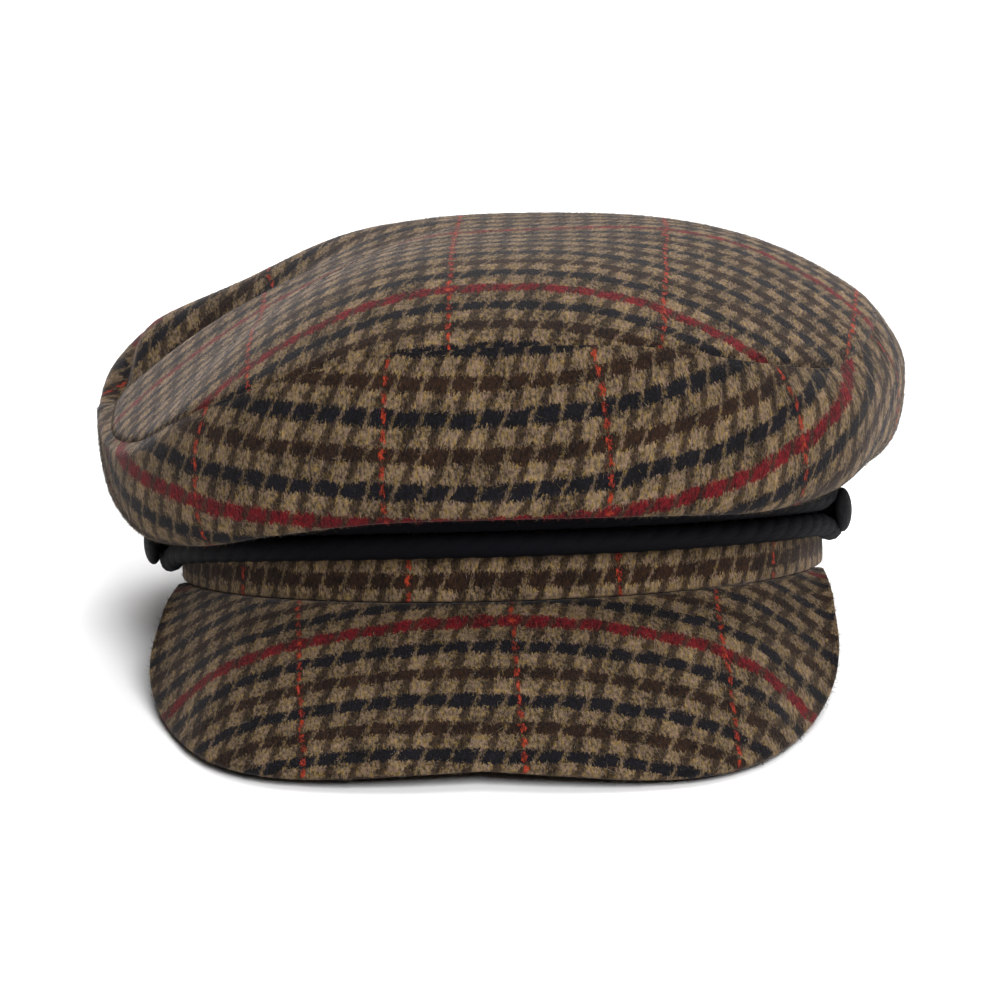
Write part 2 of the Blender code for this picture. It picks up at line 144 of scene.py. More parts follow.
def houndstooth_tweed():
    """Woollen tweed, four light and four dark threads both ways, milled and brushed.

    The yarn is dull and hairy, so it scatters light, pales at a glancing view and hides its twill
    under flecks of other wools. The dark weft stripes run red, navy, brown, navy and so on in
    eights, and every 64th warp thread is orange.
    """
    tweed, tree, shader = new_material("woollen_tweed_houndstooth")
    beige, warp_brown, orange = linear("#5d5244"), linear("#1d150f"), linear("#7e2b1c")
    red, navy, brown = linear("#4f0a13"), linear("#0a0a11"), linear("#1f140d")

    # Four noises with so many grains to a thread across and up the cloth
    flat = add_node(tree, "UVMap", {}, uv_map="Weave")
    noises = []
    for per_warp, per_weft, detail, roughness, out in (
            (0.11, 0.11, 1.0, 0.6, "Color"), (1.5, 0.8, 3.0, 0.7, "Color"),
            (1.1, 0.75, 4.0, 0.75, "Fac"), (1.0, 0.6, 2.0, 0.6, "Fac")):
        drawn = add_node(tree, "VectorMath", {0: flat, 1: (per_warp, per_weft, 1.0)}, operation="MULTIPLY")
        noises.append(add_node(
            tree, "TexNoise", {"Vector": drawn, "Scale": 1.0, "Detail": detail, "Roughness": roughness},
            out=out, noise_dimensions="2D"))
    wander, hairs, fleck, hue = noises

    # Yarns wander by up to a thread, and their hairs blur the edge between two colours. Both noises
    # lie about their middle, so half of each is taken off again.
    moved = add_node(tree, "VectorMath", {0: wander, 1: (2.4, 2.0, 0.0), 2: flat}, operation="MULTIPLY_ADD")
    moved = add_node(tree, "VectorMath", {0: hairs, 1: (3.2, 4.2, 0.0), 2: moved}, operation="MULTIPLY_ADD")
    moved = add_node(tree, "VectorMath", {0: moved, 1: (2.8, 3.1, 0.0)}, operation="SUBTRACT")
    across = add_node(tree, "SeparateXYZ", {0: moved}, out=0)
    up = across.node.outputs[1]

    # How light the warp and the weft are here, from 0 in a dark block to 1 in a light one
    in_warp = add_node(tree, "Math", {0: across, 1: CHECK}, operation="FLOORED_MODULO")
    in_warp = add_node(tree, "Math", {0: in_warp, 1: BLOCK}, operation="SUBTRACT")
    in_weft = add_node(tree, "Math", {0: up, 1: CHECK}, operation="FLOORED_MODULO")
    in_weft = add_node(tree, "Math", {0: in_weft, 1: BLOCK}, operation="SUBTRACT")
    warp_light = add_node(tree, "MapRange", {0: in_warp, 1: -EDGE_BLUR, 2: EDGE_BLUR})
    weft_light = add_node(tree, "MapRange", {0: in_weft, 1: WEFT_EDGE - EDGE_BLUR, 2: WEFT_EDGE + EDGE_BLUR})

    # Which stripe of the eight this is; the first is red
    stripe = add_node(tree, "Math", {0: up, 1: CHECK}, operation="DIVIDE")
    stripe = add_node(tree, "Math", {0: stripe}, operation="FLOOR")
    stripe = add_node(tree, "Math", {0: stripe, 1: STRIPES}, operation="FLOORED_MODULO")
    in_red = add_node(tree, "Math", {0: stripe, 1: 0.0, 2: 0.5}, operation="COMPARE")

    # The slash of the twill: thin in dark rows, wider in the red one and widest in light rows
    beside = add_node(tree, "Math", {0: across, 1: BLOCK}, operation="FLOORED_MODULO")
    beside = add_node(tree, "Math", {0: beside, 1: MIDDLE}, operation="SUBTRACT")
    above = add_node(tree, "Math", {0: up, 1: BLOCK}, operation="FLOORED_MODULO")
    above = add_node(tree, "Math", {0: above, 1: MIDDLE}, operation="SUBTRACT")
    off_slash = add_node(tree, "Math", {0: above, 1: -SLASH_LEAN, 2: beside}, operation="MULTIPLY_ADD")
    off_slash = add_node(tree, "Math", {0: off_slash}, operation="ABSOLUTE")
    half_dark = add_node(tree, "Math", {0: in_red, 1: 0.5, 2: 0.45}, operation="MULTIPLY_ADD")
    half_slash = add_node(tree, "Mix", {0: weft_light, 2: half_dark, 3: 1.45}, data_type="FLOAT")
    off_slash = add_node(tree, "Math", {0: off_slash, 1: half_slash}, operation="SUBTRACT")
    slash = add_node(tree, "MapRange", {0: off_slash, 1: -SLASH_BLUR, 2: SLASH_BLUR, 3: 1.0, 4: 0.0})

    # Dark weft, with the light warp over it as slashes; in the red row the slashes are brown
    mid_stripe = add_node(tree, "Math", {0: stripe, 1: 1 / STRIPES, 2: 0.5 / STRIPES},
                          operation="MULTIPLY_ADD")
    weft_dark = add_node(tree, "ValToRGB", {0: mid_stripe})
    ramp = weft_dark.node.color_ramp
    ramp.interpolation = "CONSTANT"
    for place, colour in enumerate((red, navy, brown, navy, brown, navy, brown, navy)):
        stop = ramp.elements[0] if place == 0 else ramp.elements.new(place / STRIPES)
        stop.color = colour
    ramp.elements.remove(ramp.elements[-1])
    browned = add_node(tree, "Math", {0: in_red, 1: 0.9}, operation="MULTIPLY")
    lifted_warp = add_node(tree, "Mix", {0: browned, 6: beige, 7: warp_brown}, out=2, data_type="RGBA")
    light_warp = add_node(tree, "Math", {0: slash, 1: warp_light}, operation="MULTIPLY")
    light_warp = add_node(tree, "Math", {0: light_warp, 1: 0.8}, operation="MULTIPLY")
    over_dark = add_node(tree, "Mix", {0: light_warp, 6: weft_dark, 7: lifted_warp}, out=2, data_type="RGBA")

    # Light weft, with the dark warp over it
    dark_warp = add_node(tree, "Math", {0: 1.0, 1: warp_light}, operation="SUBTRACT")
    dark_warp = add_node(tree, "Math", {0: slash, 1: dark_warp}, operation="MULTIPLY")
    dark_warp = add_node(tree, "Math", {0: dark_warp, 1: 0.85}, operation="MULTIPLY")
    over_light = add_node(tree, "Mix", {0: dark_warp, 6: beige, 7: warp_brown}, out=2, data_type="RGBA")
    yarn = add_node(tree, "Mix", {0: weft_light, 6: over_dark, 7: over_light}, out=2, data_type="RGBA")

    # The orange thread shows where it floats over the weft, once in each block
    in_orange = add_node(tree, "Math", {0: across, 1: ORANGE_EVERY}, operation="FLOORED_MODULO")
    in_orange = add_node(tree, "Math", {0: in_orange, 1: ORANGE_THREAD, 2: ORANGE_HALF}, operation="COMPARE")
    floating = add_node(tree, "Math", {0: above}, operation="ABSOLUTE")
    floating = add_node(tree, "MapRange", {0: floating, 1: 1.0, 2: 1.4, 3: 0.9, 4: 0.0})
    in_orange = add_node(tree, "Math", {0: in_orange, 1: floating}, operation="MULTIPLY")
    yarn = add_node(tree, "Mix", {0: in_orange, 6: yarn, 7: orange}, out=2, data_type="RGBA")

    # Melange: fibres of other wools drawn out along the warp, some lighter and some darker
    hues = add_node(tree, "ValToRGB", {0: hue})
    ramp = hues.node.color_ramp
    ramp.elements[0].position, ramp.elements[0].color = 0.36, linear("#d3c0c4")
    ramp.elements[1].position, ramp.elements[1].color = 0.64, linear("#dfcd98")
    ramp.elements.new(0.47).color = linear("#d6cdc4")
    tinted = add_node(tree, "Mix", {0: 1.0, 6: yarn, 7: hues}, out=2, data_type="RGBA",
                      blend_type="MULTIPLY")
    drift = add_node(tree, "SeparateXYZ", {0: wander}, out=2)
    light = add_node(tree, "Math", {0: drift, 1: 0.3, 2: fleck}, operation="MULTIPLY_ADD")
    light = add_node(tree, "MapRange", {0: light, 1: 0.49, 2: 0.81, 3: 0.25, 4: 2.2}, clamp=False)
    light = add_node(tree, "Math", {0: light, 1: 0.25}, operation="MAXIMUM")
    colour = add_node(tree, "VectorMath", {0: tinted, 3: light}, operation="SCALE")
    tree.links.new(colour, shader.inputs["Base Color"])

    # Relief: soft ridges along the fibres, about 0.3 mm high
    bump = add_node(tree, "Bump", {"Strength": 0.7, "Distance": 0.0003, "Height": fleck})
    tree.links.new(bump, shader.inputs["Normal"])
    shader.inputs["Roughness"].default_value = 0.95
    shader.inputs["Specular IOR Level"].default_value = 0.15
    shader.inputs["Sheen Weight"].default_value = 0.3
    shader.inputs["Sheen Roughness"].default_value = 0.32

    # The raised hairs shine at a glancing view, in the yarn's own colour but paler
    glint = add_node(tree, "VectorMath", {0: colour, 1: (3.0, 3.0, 3.0), 2: (0.34, 0.3, 0.29)},
                     operation="MULTIPLY_ADD")
    tree.links.new(glint, shader.inputs["Sheen Tint"])
    return tweed


def unit(vectors):
    return vectors / np.linalg.norm(vectors, axis=-1, keepdims=True)


# Loose hairs of the wools that the yarns are spun from, 0.1 mm wide so that they show. They are
# dyed as the yarns are, and the hairs of the light yarn are of several wools.
HAIR_SHORT, HAIR_LONG, HAIR_WIDTH = 0.0006, 0.0019, 0.00009
HAIR_ROOT = 0.0001                  # how deep it starts in the cloth
LONG_HAIRS = 0.03                   # share of hairs that are twice as long
STRAY = 0.35                        # how far a hair strays from its yarn, in threads
HAIRS = {"red": "#4f0f13", "navy": "#0f0f18", "brown": "#221711", "orange": "#72271a",
         "tan": "#5d4b30", "cream": "#756b54", "ochre": "#65582d", "rose": "#5a4239", "grey": "#615d56"}
RED, NAVY, BROWN, ORANGE, TAN, CREAM, OCHRE, ROSE, GREY = range(len(HAIRS))
ROW_HAIRS = [RED, NAVY, BROWN, NAVY, BROWN, NAVY, BROWN, NAVY]
LIGHT_HAIRS = {TAN: 0.34, CREAM: 0.2, OCHRE: 0.22, ROSE: 0.04, GREY: 0.12, BROWN: 0.08}
RED_SLASH, DARK_SLASH, LIGHT_SLASH = 0.9, 0.5, 1.45     # half the width of a slash, by the row's colour
DARK_OVER_LIGHT, BROWN_OVER_RED = 0.8, 0.85             # shares of a slash's hairs that are dark
ORANGE_FLOAT = 0.7                  # half of how far the orange thread floats over the weft, in threads
hair_wools = []
for colour, shade in HAIRS.items():
    wool, _, shader = new_material("dyed_wool_hair_" + colour)
    shader.inputs["Base Color"].default_value = linear(shade)
    shader.inputs["Roughness"].default_value = 0.8
    shader.inputs["Specular IOR Level"].default_value = 0.2
    shader.inputs["Sheen Weight"].default_value = 0.12
    hair_wools.append(wool)


def hair_colours(warp, weft, chance):
    """The wool of each hair, from its place in the weave as the tweed's own colours are."""
    count = len(warp)
    dark_row, dark_warp = weft % CHECK < BLOCK + WEFT_EDGE, warp % CHECK < BLOCK
    row = np.array(ROW_HAIRS)[(weft // CHECK % STRIPES).astype(int)]
    half_slash = np.where(dark_row, np.where(row == RED, RED_SLASH, DARK_SLASH), LIGHT_SLASH)
    slash = np.abs(warp % BLOCK - MIDDLE - SLASH_LEAN * (weft % BLOCK - MIDDLE)) < half_slash
    dark_slash = slash & dark_warp & (chance.random(count) < DARK_OVER_LIGHT)
    light = np.where(dark_row, slash & ~dark_warp, ~dark_slash)
    mixed = chance.choice(list(LIGHT_HAIRS), count, p=list(LIGHT_HAIRS.values()))
    mixed[dark_row & (row == RED) & (chance.random(count) < BROWN_OVER_RED)] = BROWN
    shown = np.where(light, mixed, np.where(dark_row, row, BROWN))
    in_orange = np.abs(warp % ORANGE_EVERY - ORANGE_THREAD) < ORANGE_HALF
    return np.where(in_orange & (np.abs(weft % BLOCK - MIDDLE) < ORANGE_FLOAT), ORANGE, shown)


def nap(name, points, outward, threads, count, seed):
    """Hairs brushed up from the yarns: bent strips that start on the cloth, each of one colour."""
    chance = np.random.default_rng(seed)
    diagonals = points[1:, 1:] - points[:-1, :-1], points[1:, :-1] - points[:-1, 1:]
    area = np.linalg.norm(np.cross(*diagonals), axis=-1)
    cell = chance.choice(area.size, count, p=area.ravel() / area.sum())
    row, column = np.divmod(cell, points.shape[1] - 1)
    down, over = chance.random((2, count, 1))

    def on_cloth(grid):
        return ((1 - down) * ((1 - over) * grid[row, column] + over * grid[row, column + 1])
                + down * ((1 - over) * grid[row + 1, column] + over * grid[row + 1, column + 1]))

    # Most lie along the warp, one way or the other, and rise a little; each bends at its middle
    root, normal, thread = on_cloth(points), unit(on_cloth(outward)), on_cloth(threads)
    warpwise = unit(points[row + 1, column] - points[row, column]) * np.sign(chance.normal(size=(count, 1)))
    lie = unit(0.7 * np.cross(normal, chance.normal(size=(count, 3))) + 1.1 * warpwise)
    aside = np.cross(normal, lie)
    length = chance.uniform(HAIR_SHORT, HAIR_LONG, (count, 1))
    length = length * np.where(chance.random((count, 1)) < LONG_HAIRS, 2.0, 1.0)
    rise = chance.uniform(0.05, 0.6, (count, 1)) ** 1.5
    curl = chance.normal(0.0, 0.45, (count, 1))
    half = HAIR_WIDTH / 2 * unit(aside + chance.normal(0.0, 0.8, (count, 1)) * normal)
    middle = root + length * (0.5 * lie + 0.2 * curl * aside + 0.75 * rise * normal)
    tip = root + length * (0.9 * lie + 0.7 * curl * aside + rise * normal)
    root = root - HAIR_ROOT * normal
    strips = np.stack([root - half, root + half, middle + 0.8 * half, middle - 0.8 * half, tip], axis=1)
    warp, weft = (thread + chance.normal(0.0, STRAY, (count, 2))).T
    shown = hair_colours(warp, weft, chance)

    mesh = bpy.data.meshes.new(name)
    first = 5 * np.arange(count)[:, None]
    quads, ends = (first + [0, 1, 2, 3]).tolist(), (first + [3, 2, 4]).tolist()
    corners = at_rest(strips).reshape(-1, 3)
    corners[:, 2] = np.maximum(corners[:, 2], 0.0)
    mesh.from_pydata(corners.tolist(), [], quads + ends)
    mesh.polygons.foreach_set("material_index", np.tile(shown, 2).astype(np.int32))
    piece = new_object(name, mesh)
    for wool in hair_wools:
        mesh.materials.append(wool)
    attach(piece, "root")


tweed = houndstooth_tweed()

turns = np.linspace(-180.0, 180.0, 241)
heights = np.linspace(0.0, BAND_HEIGHT, 16)[:, None]
face = round_band(turns, 0.0, heights)
round_it = run_along(face, 1)
front = len(turns) // 2
round_it -= round_it[:, [front]]
brown_thread = 2 * CHECK + MIDDLE
threads = np.stack(np.broadcast_arrays(
    (round_it - BAND_ORANGE) / BAND_THREAD + ORANGE_THREAD,
    (heights - BAND_BROWN_ROW) / BAND_CHECK * CHECK + brown_thread), axis=-1)
band = woven_grid("head_band", face, threads, BAND_WALL)
rounding = band.modifiers.new("turned_edges", "BEVEL")
rounding.width, rounding.segments, rounding.angle_limit = BAND_EDGE, 2, math.radians(CREASE)
band.data.materials.append(tweed)
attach(band, "root")
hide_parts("band")
outward = np.broadcast_to(unit(round_band(turns, 1.0, 0.0) - round_band(turns, 0.0, 0.0)), face.shape)
nap("band_nap", face, outward, threads, count=9000, seed=11)


# ---- Crown, side panels ------------------------------------------------------------------------
# Two curved strips of tweed, front and back, joined at the sides. Each is sewn to the band's upper
# edge, hangs out over it in a soft fold, and climbs to the seam round the top.

CLOTH_WALL = 0.002
OVERHANG, SIDE_RISE, DOME_RISE = 0.024, 0.036, 0.0315
SIDE_SEAM_TURN = 96.0
SEAM_SINK, SEAM_SPREAD = 0.0008, 0.0022        # how deep and how wide a seam draws the cloth in

# The three curves of the side panel, band to fold, fold to rim and rim to top seam: how far each
# runs straight on at its start and at its end, as shares of its size.
UNDER, BELLY, SHOULDER = (0.45, 0.45), (0.75, 0.55), (0.45, 0.38)

# turn, fold out, fold drop, rim out, rim rise, seam out, seam rise, fullness of the dome
CROWN = [(-180, 0.36, 0.40, 0.62, 0.48, 0.27, 1.03, 3.1),
         (-152, 0.38, 0.40, 0.89, 0.54, 0.63, 1.03, 2.8),
         (-130, 0.42, 0.44, 1.13, 0.59, 0.89, 1.08, 2.4),
         (-114, 0.42, 0.48, 1.41, 0.61, 0.99, 1.04, 2.4),
         (-101, 0.42, 0.50, 1.18, 0.42, 0.91, 0.57, 2.3),
         (-90, 0.41, 0.50, 0.98, 0.29, 0.81, 0.42, 2.1),
         (-75, 0.46, 0.51, 0.90, 0.16, 0.82, 0.26, 1.9),
         (-60, 0.54, 0.58, 0.98, 0.11, 0.82, 0.26, 2.0),
         (-45, 0.62, 0.56, 0.98, 0.16, 0.86, 0.49, 2.3),
         (-30, 0.70, 0.44, 0.99, 0.22, 0.82, 0.72, 2.6),
         (-15, 0.74, 0.34, 0.97, 0.26, 0.72, 0.91, 2.8),
         (0, 0.74, 0.32, 0.96, 0.27, 0.65, 0.96, 2.9),
         (20, 0.74, 0.34, 0.97, 0.28, 0.68, 0.94, 3.0),
         (40, 0.68, 0.38, 1.00, 0.28, 0.74, 0.77, 3.2),
         (57, 0.57, 0.30, 1.01, 0.34, 0.75, 0.69, 3.5),
         (72, 0.40, 0.18, 0.96, 0.46, 0.72, 0.84, 3.5),
         (92, 0.33, 0.19, 1.03, 0.57, 0.70, 1.09, 3.2),
         (115, 0.35, 0.28, 0.93, 0.55, 0.47, 1.11, 3.5),
         (148, 0.36, 0.36, 0.76, 0.50, 0.34, 1.07, 3.2)]

# Folds pressed into the crown: across, back, heading, length, width, height. Across and back are
# shares of the head's half width and half length, the sizes shares of the overhang.
FOLDS = [(-0.92, 0.20, 160, 1.50, 0.50, -0.48),
         (-0.76, 0.56, 150, 1.10, 0.90, -0.34),
         (-0.04, -0.38, 0, 2.60, 1.66, -0.20),
         (0.00, 0.57, 0, 2.20, 2.00, 0.05)]


def through_rows(table, keys, period=0.0):
    """The columns of a table at each key, joined smoothly through its rows."""
    table = np.array(table, float)
    before, after = table[:1].copy(), table[-1:].copy()
    if period:
        keys = (keys - table[0, 0]) % period + table[0, 0]
        before, after = table[-1:].copy(), table[:2].copy()
        before[:, 0] -= period
        after[:, 0] += period
    table = np.vstack([before, table, after])
    low = np.clip(np.searchsorted(table[:, 0], keys, side="right") - 1, 1, len(table) - 3)
    r0, r1, r2, r3 = (table[low + step] for step in (-1, 0, 1, 2))
    length = r2[..., :1] - r1[..., :1]
    share = (keys[..., None] - r1[..., :1]) / length
    slope_in = (r2 - r0) / (r2[..., :1] - r0[..., :1]) * length
    slope_out = (r3 - r1) / (r3[..., :1] - r1[..., :1]) * length
    square, cube = share ** 2, share ** 3
    return np.moveaxis((2 * cube - 3 * square + 1) * r1 + (3 * square - 2 * cube) * r2
                       + (cube - 2 * square + share) * slope_in + (cube - square) * slope_out, -1, 0)


def ease(share):
    """From 0 to 1, level at both ends."""
    share = np.clip(share, 0.0, 1.0)
    return share * share * (3 - 2 * share)


def bend(start, pull, push, end, share):
    """A cubic curve from start to end that sets off towards pull and comes in from push."""
    rest = 1.0 - share
    return rest ** 3 * start + 3 * rest ** 2 * share * pull + 3 * rest * share ** 2 * push + share ** 3 * end


def crown_surface(turn, place):
    """The crown's outer face. Place -1 to 0 lies on the band, 0 to 3 climbs the side panel past its
    fold (1) and rim (2) to the top seam (3), and 3 to 4 crosses to the middle of the top."""
    turn, place = np.broadcast_arrays(turn, place)
    _, fold_out, fold_drop, rim_out, rim_rise, seam_out, seam_rise, fullness = through_rows(CROWN, turn, 360)
    top = BAND_HEIGHT + CLEARANCE
    fold_x, rim_x, seam_x = fold_out * OVERHANG, rim_out * OVERHANG, seam_out * OVERHANG
    fold_z = BAND_HEIGHT * (1.0 - fold_drop)
    rim_z, seam_z = BAND_HEIGHT + rim_rise * SIDE_RISE, BAND_HEIGHT + seam_rise * SIDE_RISE
    under, belly, shoulder = (np.clip(place - start, 0.0, 1.0) for start in (0, 1, 2))
    out = np.select(
        [place <= 0, place <= 1, place <= 2],
        [place * BAND_WALL,
         bend(0.0, UNDER[0] * fold_x, (1 - UNDER[1]) * fold_x, fold_x, under),
         bend(fold_x, fold_x + BELLY[0] * (rim_x - fold_x), rim_x, rim_x, belly)],
        bend(rim_x, rim_x, seam_x - SHOULDER[1] * (seam_x - rim_x), seam_x, shoulder))
    height = np.select(
        [place <= 0, place <= 1, place <= 2],
        [top + 0 * place,
         bend(top, top, fold_z, fold_z, under),
         bend(fold_z, fold_z, rim_z - BELLY[1] * (rim_z - fold_z), rim_z, belly)],
        bend(rim_z, rim_z + SHOULDER[0] * (seam_z - rim_z), seam_z - SHOULDER[1] * (seam_z - rim_z),
             seam_z, shoulder))
    points = round_band(turn, out, height)
    share = np.clip(4.0 - place, 0.0, 1.0)
    middle = BAND_HEIGHT + SIDE_RISE + DOME_RISE
    over = place > 3.0
    points[..., :2] *= np.where(over, share, 1.0)[..., None]
    points[..., 2] = np.where(over, middle - (middle - seam_z) * share ** fullness, points[..., 2])
    sunk = 0.0
    for across, back, heading, length, width, rise in FOLDS:
        dx, dy = points[..., 0] - across * HEAD_WIDTH / 2, points[..., 1] - back * HEAD_LENGTH / 2
        cos, sin = math.cos(math.radians(heading)), math.sin(math.radians(heading))
        along, aside = dx * cos + dy * sin, dy * cos - dx * sin
        far = (along / (length * OVERHANG)) ** 2 + (aside / (width * OVERHANG)) ** 2
        sunk = sunk + rise * OVERHANG * np.exp(-far)
    points[..., 2] += ease((place - 1.0) / 2.0) * sunk
    return points


def crown_outward(turn, place):
    """Unit vectors out of the crown's face, from its slopes over 2 degrees and 0.08 of a place."""
    around = crown_surface(turn + 1.0, place) - crown_surface(turn - 1.0, place)
    climb = crown_surface(turn, np.minimum(place + 0.04, 3.98)) - crown_surface(turn, place - 0.04)
    return unit(np.cross(around, climb))


FRONT_CHECK, FRONT_THREAD = 0.00964, 0.000925
RED_ROW_BELOW_RIM, FRONT_ORANGE = 0.0228, 0.0316
BEND_LEFT, BEND_RIGHT, BEND_BACK = 0.353, 0.238, 0.27    # the flat strip's radius at its rim
BEND_CHANGE = 50.0                  # degrees in which the left bend turns into the right one
WARP_SPREAD = 0.4                   # how far the warp fans out above the rim, as a share of the cut's
DEGREES = 57.3                      # in a radian
SEAM_COLUMNS, SEAM_STRIP = 8, 3.0   # closer columns of the grid, and the degrees they take, at each seam
SEAM_ROW = 2.86                     # the place from which the grid's rows lie closer, to the top seam


def side_panel(name, node, first, last, bend_left, bend_right, seed):
    """A side panel from turn first to last, its weave laid as on a strip cut on a curve."""
    middle = (first + last) / 2
    spread = (last - first) / 2
    near = np.linspace(0.0, 1.0, SEAM_COLUMNS)[:-1] * SEAM_STRIP
    turn = np.concatenate([
        middle - spread + near,
        np.linspace(middle - spread + SEAM_STRIP, middle + spread - SEAM_STRIP, 187),
        (middle + spread - near)[::-1]])
    place = np.concatenate([
        [-1.0, -0.5], np.linspace(0, 1, 12)[:-1], np.linspace(1, 2, 18)[:-1],
        np.linspace(2, SEAM_ROW, 17)[:-1], np.linspace(SEAM_ROW, 3, 8)])[:, None]
    points = crown_surface(turn, place)
    climb = run_along(points, 0)
    rim = int(np.argmin(np.abs(place[:, 0] - 2.0)))
    centre = int(np.argmin(np.abs(turn - middle)))
    above = climb - climb[rim]
    along = run_along(points[rim:rim + 1], 1)
    along = along - along[:, [centre]]
    share = ease((turn - middle) / BEND_CHANGE + 0.5)
    radius = 1.0 / ((1 - share) / bend_left + share / bend_right)
    angle = along / radius
    across = (radius + WARP_SPREAD * above) * np.sin(angle)
    up = (radius + above) * np.cos(angle) - radius
    threads = np.stack([(across - FRONT_ORANGE) / FRONT_THREAD + ORANGE_THREAD,
                        (up + RED_ROW_BELOW_RIM) / FRONT_CHECK * CHECK + MIDDLE], axis=-1)

    # The seams at the top and at both sides draw the cloth in
    from_top = climb[-1:] - climb
    from_side = (spread - np.abs(turn - middle)) / DEGREES * np.linalg.norm(points[..., :2], axis=-1)
    at_top, at_side = np.exp(-(from_top / SEAM_SPREAD) ** 2), np.exp(-(from_side / SEAM_SPREAD) ** 2)
    sink = SEAM_SINK * np.maximum(at_top, at_side * ease(place))
    points = points - sink[..., None] * crown_outward(turn, place)
    piece = woven_grid(name, points, threads, CLOTH_WALL)
    piece.data.materials.append(tweed)
    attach(piece, "root")
    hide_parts(node)
    seen = place[:, 0] > 0.5                # no hairs where the cloth turns in to the band
    nap(name + "_nap", points[seen], crown_outward(turn, place)[seen], threads[seen],
        count=30000, seed=seed)


side_panel("front_panel", "crown_front", -SIDE_SEAM_TURN, SIDE_SEAM_TURN,
           BEND_LEFT, BEND_RIGHT, seed=21)
side_panel("back_panel", "crown_back", SIDE_SEAM_TURN, 360 - SIDE_SEAM_TURN,
           BEND_BACK, BEND_BACK, seed=31)


# ---- Crown, top --------------------------------------------------------------------------------
# An oval of tweed sewn into the side panels all round, its stripes running from side to side. It
# has no stiffening, so it keeps the dents it was last pressed into.

TOP_CHECK, TOP_THREAD = 0.0088, 0.000925
TOP_RED_ROW, TOP_ORANGE = 0.0265, -0.010
TOP_SEAM_ROW = 3.1                  # the place up to which the grid's rows lie closer, from the seam

turn = np.linspace(0.0, 360.0, 289)
place = np.concatenate([np.linspace(3, TOP_SEAM_ROW, 8)[:-1], np.linspace(TOP_SEAM_ROW, 4, 46)])[:, None]
points = crown_surface(turn, place)
climb = run_along(points, 0)
from_middle = climb[-1:] - climb
angle = np.radians(turn)
across = from_middle * np.sin(angle)
back = from_middle[:1, :1] - from_middle * np.cos(angle)
threads = np.stack([(across - TOP_ORANGE) / TOP_THREAD + ORANGE_THREAD,
                    (back - TOP_RED_ROW) / TOP_CHECK * CHECK + MIDDLE], axis=-1)
outward = crown_outward(turn, np.minimum(place, 3.97))     # all columns meet in the middle, at 4
points = points - SEAM_SINK * np.exp(-(climb / SEAM_SPREAD) ** 2)[..., None] * outward
top = woven_grid("crown_top_panel", points, threads, CLOTH_WALL)
top.data.materials.append(tweed)
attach(top, "root")
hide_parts("crown_top")
nap("crown_top_nap", points, outward, threads, count=38000, seed=41)


# ---- Peak --------------------------------------------------------------------------------------
# A stiff peak covered with the tweed on both faces and turned in at the edge, sewn under the band.
# It falls away from the brow and its edge curves up at both corners.

PEAK_REACH, PEAK_HALF_WIDTH, PEAK_FALL = 0.045, 0.0935, 0.0405
PEAK_THICKNESS, PEAK_ARCH = 0.0032, 0.0045
PEAK_SKEW, PEAK_LEAN, PEAK_SWING = 0.032, -0.0026, 0.036
PEAK_CHECK, PEAK_THREAD = 0.0089, 0.0009
PEAK_RED_ROW, PEAK_ORANGE, PEAK_SLOPE = 0.0969, 0.005, math.radians(25.6)
ROW_STRETCH, ROW_SHRINK = 0.85, 0.03           # checks are wider by the red row, then ever narrower
WARP_FAN, WARP_LEAN = 6.8, 0.07                # how the warp closes up at the sides and leans
PEAK_ROWS, RIM_STEPS = 30, 9

# station from the middle to a corner, turn where it is sewn, and across, forward and fall as shares
# of its half width, its reach from the band's middle and its fall
PEAK = [(0.00, 0, 0.000, 0.992, 0.946), (0.15, 12, 0.218, 1.003, 0.970), (0.30, 24, 0.448, 0.992, 0.997),
        (0.42, 34, 0.638, 0.953, 0.986), (0.54, 43, 0.794, 0.855, 0.943), (0.66, 52, 0.906, 0.695, 0.862),
        (0.76, 60, 0.985, 0.545, 0.684), (0.84, 66, 1.012, 0.451, 0.466), (0.90, 70, 1.003, 0.373, 0.251),
        (0.95, 74, 0.992, 0.284, 0.093), (1.00, 77, 0.975, 0.170, 0.008)]

station = np.linspace(-1.0, 1.0, 161)
side = np.sign(station)
_, sewn_turn, across, forward, fall = through_rows(PEAK, np.abs(station))
edge_x = side * across * PEAK_HALF_WIDTH + PEAK_LEAN * fall
edge = np.stack([edge_x, -forward * (HEAD_LENGTH / 2 + PEAK_REACH) + PEAK_SWING * edge_x * forward,
                 -fall * PEAK_FALL - PEAK_SKEW * edge_x * fall], axis=-1)
sewn = round_band(side * sewn_turn, 0.0, -CLEARANCE)
width = np.linalg.norm(edge - sewn, axis=-1)


def peak_face(share):
    """The peak's upper face: share 0 is where it is sewn, 1 its edge, and below 0 the sewn strip."""
    over = np.maximum(share, 0.0)[..., None]
    points = sewn + over * (edge - sewn)
    points[..., 2] += 4 * over[..., 0] * (1 - over[..., 0]) * PEAK_ARCH * np.minimum(fall, 1.0)
    strip = round_band(side * sewn_turn, np.minimum(share, 0.0) * BAND_WALL, -CLEARANCE)
    return np.where(over > 0.0, points, strip)


